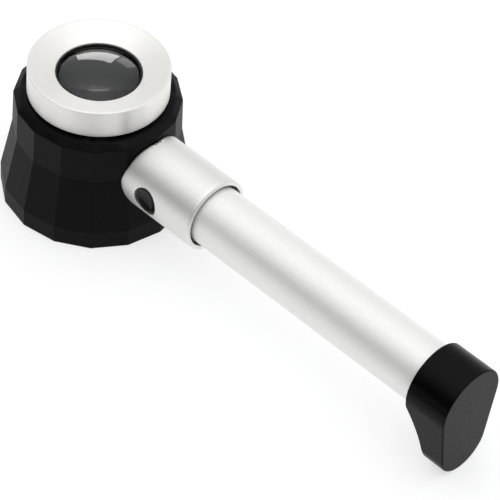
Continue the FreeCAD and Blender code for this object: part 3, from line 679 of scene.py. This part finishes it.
# ---- cup ----
def facet_directions():
    """Unit outline of the sixteen-sided cup with its corners rounded, scaled later by radius."""
    half = math.pi / FACETS
    softness = FACET_ROUND / BASE_R
    centre = 1 - softness / math.cos(half)
    corners = []
    for k in range(FACETS):
        angle = 2 * math.pi * k / FACETS
        for step in range(FACET_STEPS + 1):
            turn = angle + half * (2 * step / FACET_STEPS - 1)
            corners.append(Vector((centre * math.cos(angle) + softness * math.cos(turn),
                                   centre * math.sin(angle) + softness * math.sin(turn))))
    points = []
    for k, here in enumerate(corners):
        points.append(here)
        if k % (FACET_STEPS + 1) == FACET_STEPS:
            ahead = corners[(k + 1) % len(corners)]
            points += [here.lerp(ahead, step / FLAT_STEPS) for step in range(1, FLAT_STEPS)]
    return points


def roundness(r, z):
    """How round the cup is at a point of its outline: 0 is sixteen-sided and 1 is a circle."""
    inside_r = CUP_WALL_FOOT_R if z < (BAND_TOP_Z + WAIST_Z) / 2 else CUP_WALL_WAIST_R
    if z < RIM_Z and r < inside_r + TOUCHING:
        return 1.0
    return min(1.0, max(0.0, (z - RIM_Z) / (CREST_Z - RIM_Z)))


def make_cup():
    sides = facet_directions()
    outline = rounded([(BASE_R, 0, FOOT_ROUND), (BASE_R, BAND_TOP_Z, BAND_ROUND),
                       (WAIST_R, WAIST_Z, WAIST_ROUND), (RIM_R, RIM_Z, RIM_ROUND),
                       (CREST_R, CREST_Z, CREST_ROUND), (LIP_R, CUP_TOP_Z, SHARP_ROUND),
                       (BARREL_HOLE_R, CUP_TOP_Z, EDGE_ROUND), (BARREL_HOLE_R, CUP_ROOF_Z, 0),
                       (CUP_WALL_TOP_R, CUP_ROOF_Z, INSIDE_ROUND), (CUP_WALL_TOP_R, CUP_WALL_TOP_Z, 0),
                       (CUP_WALL_WAIST_R, WAIST_Z, 0), (CUP_WALL_FOOT_R, BAND_TOP_Z, INSIDE_ROUND),
                       (CUP_WALL_FOOT_R, 0, EDGE_ROUND)], CUP_ROUND_STEPS)
    bm = bmesh.new()
    rings = []
    for r, z in outline:
        blend = roundness(r, z)
        rings.append(ring(bm, [Vector((*(side.lerp(side.normalized(), blend) * r), z)) for side in sides]))
    skin(bm, rings, closed=True)
    finish_piece("cup_shell", bm, cup_polymer(), "base", ["base_skirt"])


# ---- eyepiece ----
def make_eyepiece():
    outline = rounded([(NECK_BORE_R, NECK_BOTTOM_Z, NECK_ROUND), (NECK_R, NECK_BOTTOM_Z, NECK_ROUND),
                       (NECK_R, RING_BOTTOM_Z, 0), (RING_R, RING_BOTTOM_Z, RING_FOOT_ROUND),
                       (RING_R, RING_TOP_Z, RING_TOP_ROUND), (DISH_OUTER_R, RING_TOP_Z, SHARP_ROUND),
                       (DISH_INNER_R, DISH_INNER_Z, DISH_ROUND), (DISH_INNER_R, RING_LIP_Z, RING_LIP_ROUND),
                       (NECK_BORE_R, RING_LIP_Z, 0)])
    finish_piece("eyepiece_dish", lathe(outline, RING_SEGMENTS), turned_aluminium(), "focus_ring",
                 ["eyepiece_ring"])


def sag(curve, r):
    """How far a ball of this radius falls away at a distance from its pole."""
    return curve - math.sqrt(curve * curve - r * r)


def make_upper_lens():
    """The front lens: its top is the steep side and has no coating, so it mirrors the windows."""
    apex = CELL_SEAT_Z + sag(LENS_TOP_CURVE, CELL_NECK_BORE_R) - LENS_GAP
    bottom = apex - sag(LENS_TOP_CURVE, LENS_R) - LENS_EDGE - sag(LENS_SIDE_CURVE, LENS_R)
    radii = [LENS_R * k / LENS_STEPS for k in range(LENS_STEPS + 1)]
    under = [(r, bottom + sag(LENS_SIDE_CURVE, r)) for r in radii]
    over = [(r, apex - sag(LENS_TOP_CURVE, r)) for r in reversed(radii)]
    lens = finish_piece("front_lens", lathe(under + over, LENS_SEGMENTS), coated_glass("coated_glass"),
                        "lens_carrier", ["upper_lens"])
    lens.data.materials.append(lens_glass().material)
    lens.data.materials.append(edge_paint().material)
    for face in lens.data.polygons:
        if face.normal.z > EDGE_SLOPE:
            face.material_index = BARE_GLASS
        elif face.normal.z > -EDGE_SLOPE:
            face.material_index = BLACK_EDGE
    return lens


# ---- handle ----
def cup_wall_x(y, z):
    """Where the outside of the cup's wall is at a place beside the handle, in the row frame."""
    if z < BAND_TOP_Z:
        r = BASE_R
    elif z < WAIST_Z:
        r = BASE_R + (WAIST_R - BASE_R) * (z - BAND_TOP_Z) / (WAIST_Z - BAND_TOP_Z)
    else:
        r = WAIST_R + (RIM_R - WAIST_R) * (z - WAIST_Z) / (RIM_Z - WAIST_Z)
    flat = r * math.cos(math.pi / FACETS)
    middles = [math.pi * (2 * k + 1) / FACETS for k in range(HANDLE_FACETS)]
    return min((flat - abs(y) * math.sin(m)) / math.cos(m) for m in middles)


def saddle_x(y, z):
    """The same place in the handle's level drawing, found in a few rounds because the handle slopes."""
    x = WAIST_R
    for _ in range(FIT_ROUNDS):
        row_z = HANDLE_AXIS_Z + x * math.sin(RISE) + z * math.cos(RISE)
        x = (cup_wall_x(y, row_z) + z * math.sin(RISE)) / math.cos(RISE)
    return x


def wall_point(wall_r, x, column):
    """A point of the collar's grid: columns start at the button and go up round the handle."""
    angle = 2 * math.pi * column / COLLAR_COLUMNS
    return Vector((x, -wall_r * math.cos(angle), wall_r * math.sin(angle)))


def straight_ring(bm, r, x):
    return ring(bm, [wall_point(r, x, column) for column in range(COLLAR_COLUMNS)])


def saddle_ring(bm, r, back):
    """A ring that follows the cup's facets, this far behind them."""
    points = []
    for column in range(COLLAR_COLUMNS):
        flat = wall_point(r, 0, column)
        points.append(wall_point(r, saddle_x(flat.y, flat.z) + back, column))
    return ring(bm, points)


class CollarHole:
    """A round hole in the collar's wall; the grid inside its patch gives way to rings."""

    def __init__(self, rows, x, angle_deg, r, half, edge):
        self.x, self.r, self.half, self.edge = x, r, half, edge
        self.angle = math.radians(angle_deg)
        self.column = round(angle_deg / 360 * COLLAR_COLUMNS)
        self.row = min(range(len(rows)), key=lambda i: abs(rows[i] - x))

    def holds_point(self, row, column):
        """Whether a point of the grid is inside the patch."""
        half_way = COLLAR_COLUMNS // 2
        around = (column - self.column + half_way) % COLLAR_COLUMNS - half_way
        return abs(around) < self.half and abs(row - self.row) < self.half

    def holds_cell(self, row, column):
        """Whether the cell after a point of the grid is inside the patch."""
        across = (column - self.column + self.half) % COLLAR_COLUMNS
        return across < 2 * self.half and 0 <= row - self.row + self.half < 2 * self.half

    def border(self, grid):
        """Vertices round the patch, in order, each with its column from the hole's middle."""
        h = self.half
        offsets = [(-h, k) for k in range(-h, h)] + [(k, h) for k in range(-h, h)]
        offsets += [(h, -k) for k in range(-h, h)] + [(-k, -h) for k in range(-h, h)]
        return [(grid[self.row + r][(self.column + c) % COLLAR_COLUMNS], c) for r, c in offsets]

    def point(self, wall_r, x, across, sunk=0.0):
        """A point on the wall, measured across from the hole's middle, moved inwards by sunk."""
        out = math.sqrt(max(wall_r ** 2 - across ** 2, 0)) - sunk
        c, s = math.cos(self.angle), math.sin(self.angle)
        return Vector((x, -out * c + across * s, out * s + across * c))


def wall_sheet(bm, wall_r, rows, holes, first_ring):
    """One side of the collar's wall as a grid with holes, joined to the ring before it."""
    grid = []
    for row, x in enumerate(rows):
        line = []
        for column in range(COLLAR_COLUMNS):
            left_out = any(hole.holds_point(row, column) for hole in holes)
            line.append(None if left_out else bm.verts.new(wall_point(wall_r, x, column)))
        grid.append(line)
    bridge(bm, first_ring, grid[0])
    for row in range(len(rows) - 1):
        here, ahead = grid[row], grid[row + 1]
        for column in range(COLLAR_COLUMNS):
            if not any(hole.holds_cell(row, column) for hole in holes):
                beside = (column + 1) % COLLAR_COLUMNS
                bm.faces.new([here[column], here[beside], ahead[beside], ahead[column]])
    return grid


def hole_rings(bm, grid, hole, wall_r, steps):
    """Rings from a hole's patch in to its edge. Gives the last ring and each point's way outwards."""
    border = hole.border(grid)
    flat = [(vertex.co.x - hole.x, wall_r * math.sin(2 * math.pi * column / COLLAR_COLUMNS))
            for vertex, column in border]
    rings = [[vertex for vertex, _ in border]]
    for step in range(1, steps + 1):
        share = step / steps
        points = []
        for along, across in flat:
            scale = 1 + ((hole.r + hole.edge) / math.hypot(along, across) - 1) * share
            points.append(hole.point(wall_r, hole.x + along * scale, across * scale))
        rings.append(ring(bm, points))
    skin(bm, rings)
    return rings[-1], [(a / math.hypot(a, b), b / math.hypot(a, b)) for a, b in flat]


def cut_hole(bm, hole, outer, inner):
    """The rings round a hole on both sides of the wall, its rounded edge and its side."""
    rim, ways = hole_rings(bm, outer, hole, COLLAR_R, OUTER_HOLE_STEPS)
    under, _ = hole_rings(bm, inner, hole, COLLAR_BORE_R, INNER_HOLE_STEPS)
    rings = [rim]
    for sunk, wider in quarter(hole.edge, HOLE_EDGE_STEPS)[1:]:
        a = hole.r + wider
        rings.append(ring(bm, [hole.point(COLLAR_R, hole.x + a * c, a * s, sunk) for c, s in ways]))
    skin(bm, rings + [under])


def collar_rows():
    """Places of the grid's rows along the handle."""
    last = COLLAR_END_X - COLLAR_END_L
    rows = [BUTTON_X - ROWS_BEFORE_BUTTON * ROW_STEP]
    while rows[-1] + ROW_STEP < last - LEAST_ROW * ROW_STEP:
        rows.append(rows[-1] + ROW_STEP)
    return rows + [last]


def make_collar():
    rows = collar_rows()
    holes = [CollarHole(rows, BUTTON_X, 0, BUTTON_HOLE_R, BUTTON_HOLE_CELLS, BUTTON_HOLE_EDGE)]
    holes += [CollarHole(rows, x, GRUB_ANGLE_DEG, GRUB_R, GRUB_CELLS, GRUB_EDGE) for x in GRUB_XS]
    bm = bmesh.new()
    saddle = [saddle_ring(bm, COLLAR_BORE_R, 0)]
    for inset, back in reversed(quarter(SADDLE_ROUND, SADDLE_STEPS)):
        saddle.append(saddle_ring(bm, COLLAR_R - inset, back))
    skin(bm, saddle)
    neck = [saddle[-1]]
    for step in range(1, NECK_IN_STEPS):
        share = step / NECK_IN_STEPS
        neck.append(ring(bm, [old.co.lerp(wall_point(COLLAR_R, rows[0], column), share)
                              for column, old in enumerate(saddle[-1])]))
    skin(bm, neck)
    outer = wall_sheet(bm, COLLAR_R, rows, holes, neck[-1])
    inner = wall_sheet(bm, COLLAR_BORE_R, rows, holes, saddle[0])
    for hole in holes:
        cut_hole(bm, hole, outer, inner)
    # The outer end: rounded shoulder, flat face, and a wider mouth round the tube.
    mouth_x = COLLAR_END_X - COLLAR_MOUTH_L
    profile = rounded([(COLLAR_R, rows[-2], 0), (COLLAR_R, COLLAR_END_X, COLLAR_END_ROUND),
                       (COLLAR_MOUTH_R, COLLAR_END_X, SHARP_ROUND), (COLLAR_MOUTH_R, mouth_x, 0),
                       (COLLAR_BORE_R, mouth_x, 0)], COLLAR_END_STEPS)
    skin(bm, [outer[-1]] + [straight_ring(bm, r, x) for r, x in profile[2:]] + [inner[-1]])
    finish_piece("collar_shell", bm, collar_aluminium(), "base", ["handle_collar"],
                 ON_HANDLE)


def on_button_axis():
    """Where a piece goes that is drawn about Z, with its outer end down."""
    return ON_HANDLE @ Matrix.Translation((BUTTON_X, 0, 0)) @ ALONG_Y


def make_button():
    face, flange = -BUTTON_FACE_Y, -BUTTON_FLANGE_Y
    ball = (BUTTON_DISH_R ** 2 + BUTTON_DISH ** 2) / (2 * BUTTON_DISH)
    radii = [BUTTON_DISH_R * k / BUTTON_DISH_STEPS for k in range(BUTTON_DISH_STEPS + 1)]
    outline = [(r, -face + BUTTON_DISH - sag(ball, r)) for r in radii]
    outline += rounded([(BUTTON_LAND_R, -face, 0), (BUTTON_R, -face, BUTTON_ROUND), (BUTTON_R, -flange, 0),
                        (BUTTON_FLANGE_R, -flange, FLANGE_ROUND),
                        (BUTTON_FLANGE_R, -flange + BUTTON_FLANGE_T, FLANGE_ROUND),
                        (0, -flange + BUTTON_FLANGE_T, 0)])
    finish_piece("button_cap", lathe(outline, BUTTON_SEGMENTS), button_rubber(), "button",
                 ["push_button"], on_button_axis())


def make_button_spring():
    rise = BUTTON_SPRING_L - 2 * BUTTON_SPRING_WIRE_R
    bm = bmesh.new()
    rings = []
    steps = int(BUTTON_SPRING_TURNS * SPRING_STEPS)
    for k in range(steps + 1):
        around = 2 * math.pi * BUTTON_SPRING_TURNS * k / steps
        outward = Vector((math.cos(around), math.sin(around), 0))
        middle = outward * BUTTON_SPRING_R
        middle.z = SWITCH_TOP_Y - BUTTON_SPRING_WIRE_R - rise * k / steps
        rings.append(ring(bm, [middle + outward * p.x + Vector((0, 0, p.y))
                               for p in circle(BUTTON_SPRING_WIRE_R, 0, WIRE_SEGMENTS)]))
    skin(bm, rings)
    bm.faces.new(rings[0])
    bm.faces.new(rings[-1])
    finish_piece("button_coil", bm, spring_steel(), "base", ["button_spring"],
                 on_button_axis())


def make_tube():
    outline = rounded([(TUBE_BORE_R, TUBE_START_X, EDGE_ROUND), (TUBE_R, TUBE_START_X, TUBE_ROUND),
                       (TUBE_R, TUBE_END_X, TUBE_ROUND), (TUBE_BORE_R, TUBE_END_X, EDGE_ROUND)])
    finish_piece("battery_tube", lathe(outline, TUBE_SEGMENTS), tube_aluminium(), "base",
                 ["handle_tube"], ON_HANDLE @ ALONG_X)


def tongue():
    """Outline of the cap and its foot as (y, z, outward y, outward z)."""
    drop = FOOT_REACH - FOOT_TIP_R
    lean = math.asin((CAP_R - FOOT_TIP_R) / drop)
    points = []
    for k in range(CAP_ROUND_STEPS + 1):
        angle = -lean + (math.pi + 2 * lean) * k / CAP_ROUND_STEPS
        points.append((CAP_R * math.cos(angle), CAP_R * math.sin(angle), math.cos(angle), math.sin(angle)))
    side = (-math.cos(lean), -math.sin(lean))
    start = Vector((CAP_R * side[0], CAP_R * side[1]))
    end = Vector((FOOT_TIP_R * side[0], FOOT_TIP_R * side[1] - drop))
    points += [(*start.lerp(end, k / SIDE_STEPS), *side) for k in range(1, SIDE_STEPS)]
    for k in range(TIP_STEPS + 1):
        angle = math.pi + lean + (math.pi - 2 * lean) * k / TIP_STEPS
        points.append((FOOT_TIP_R * math.cos(angle), FOOT_TIP_R * math.sin(angle) - drop,
                       math.cos(angle), math.sin(angle)))
    for k in range(1, SIDE_STEPS):
        y, z = end.lerp(start, k / SIDE_STEPS)
        points.append((-y, z, -side[0], side[1]))
    return points


def relief_x(z):
    """Back of the cap at a height: flat at the top, a hollow curve behind the foot."""
    if z >= RELIEF_START_Z:
        return CAP_BACK_X
    start, end = Vector((CAP_BACK_X, RELIEF_START_Z)), Vector((FOOT_BACK_X, -FOOT_REACH))
    chord = end - start
    across = Vector((-chord.y, chord.x)).normalized()
    middle = (start + end) / 2
    centre = middle - across * math.sqrt(RELIEF_R ** 2 - (chord.length / 2) ** 2)
    side = 1 if centre.x < middle.x else -1
    return centre.x + side * math.sqrt(max(RELIEF_R ** 2 - (z - centre.y) ** 2, 0))


def inwards(outline, inset):
    """The cap's outline as (y, z), moved in from its side."""
    return [(y - out_y * inset, z - out_z * inset) for y, z, out_y, out_z in outline]


def make_cap():
    outline = tongue()
    bm = bmesh.new()
    rings = []
    for inset, drop in reversed(quarter(CAP_EDGE_ROUND, CAP_EDGE_STEPS)):
        rings.append(ring(bm, [Vector((CAP_FACE_X - drop, y, z)) for y, z in inwards(outline, inset)]))
    bm.faces.new(rings[0])
    for inset, drop in quarter(CAP_BACK_ROUND, CAP_BACK_EDGE_STEPS):
        rings.append(ring(bm, [Vector((relief_x(z) + drop, y, z)) for y, z in inwards(outline, inset)]))
    edge = [vertex.co.copy() for vertex in rings[-1]]
    ways = [math.atan2(p.z, p.y) for p in edge]
    for step in range(1, BACK_STEPS + 1):       # the back, in to the bore
        share = step / BACK_STEPS
        points = []
        for p, way in zip(edge, ways):
            y = p.y + (CAP_BORE_R * math.cos(way) - p.y) * share
            z = p.z + (CAP_BORE_R * math.sin(way) - p.z) * share
            points.append(Vector((relief_x(z), y, z)))
        rings.append(ring(bm, points))
    seat_x, floor_x = CAP_BACK_X + CAP_LIP_L, CAP_FACE_X - CAP_FACE_T
    for r, x in ((CAP_BORE_R, seat_x), (INSERT_R, seat_x), (INSERT_R, floor_x)):
        rings.append(ring(bm, [Vector((x, r * math.cos(way), r * math.sin(way))) for way in ways]))
    skin(bm, rings)
    bm.faces.new(rings[-1])
    finish_piece("foot_cap_shell", bm, cap_polymer(), "foot_cap", ["end_cap"], ON_HANDLE)


# ---- CAD pieces that keep their shape ----
def dress(finish, *names):
    for name in names:
        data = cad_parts[name].data
        data.materials.clear()
        data.materials.append(finish.material)


def dress_inner_pieces():
    dress(cup_polymer(), "base_ring")
    dress(black_aluminium(), "focus_barrel", "lens_cell", "cell_retaining_ring", "lens_spacer",
          "lens_retaining_ring")
    dress(coated_glass("inner_glass"), "lower_lens")
    dress(seal_rubber(), "damping_ring", "tube_oring", "cap_oring")
    dress(bright_steel(), "guide_pin", "barrel_screws", "head_screws", "collar_set_screws")
    dress(pale_coating(), "led_board")
    dress(lamp_phosphor(), "leds")
    dress(frosted_plastic(), "light_diffuser")
    dress(core_plastic(), "switch_chassis", "switch_body")
    dress(spring_steel(), "battery_spring", "ground_washer")
    dress(circuit_board(), "switch_board")
    dress(wire_jacket(), "lead_wires")
    dress(turned_brass(), "front_contact", "cap_insert", "cap_contact")
    dress(liner_plastic(), "battery_liner")
    dress(cell_jacket(), "front_battery", "rear_battery")


make_camera()
make_studio()
make_cup()
make_eyepiece()
light_lens(make_upper_lens())
make_collar()
make_button()
make_button_spring()
make_tube()
make_cap()
dress_inner_pieces()
